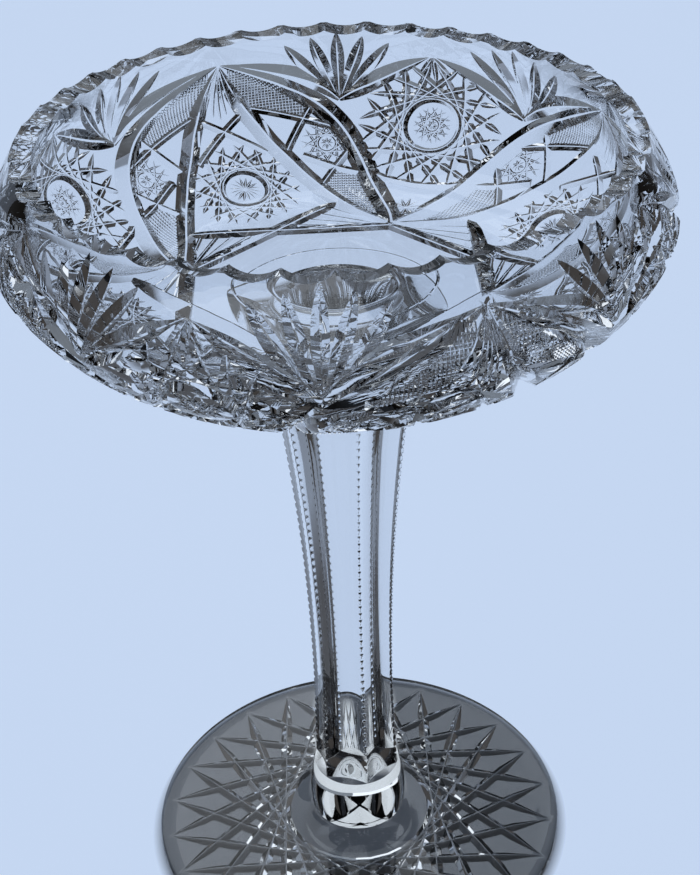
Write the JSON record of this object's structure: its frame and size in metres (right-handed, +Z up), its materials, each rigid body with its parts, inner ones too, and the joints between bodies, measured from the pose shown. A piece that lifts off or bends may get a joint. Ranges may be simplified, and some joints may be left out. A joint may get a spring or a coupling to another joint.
{
  "type": "footed cut-glass bowl",
  "caption": "Shallow clear cut-glass bowl with a turned-in scalloped rim, on a tall fluted stem and a round star-cut foot.",
  "frame": {"origin": "centre of the foot's flat underside, on the surface that the compote stands on", "axes": "+Z up along the stem; the front of the picture is seen from -Y"},
  "size_m": [0.189, 0.189, 0.254],
  "materials": {
    "foot_glass": "polished clear lead crystal, cut underneath with a star",
    "knop_glass": "fire-polished clear lead crystal",
    "stem_glass": "polished clear lead crystal with hollow flutes",
    "wafer_glass": "fire-polished clear lead crystal",
    "bowl_glass": "polished clear lead crystal with deep mitre cuts"
  },
  "bodies": {
    "root": {"foot": "foot_glass", "knop": "knop_glass", "stem": "stem_glass", "bowl_wafer": "wafer_glass", "bowl": "bowl_glass"}
  },
  "joints": []
}
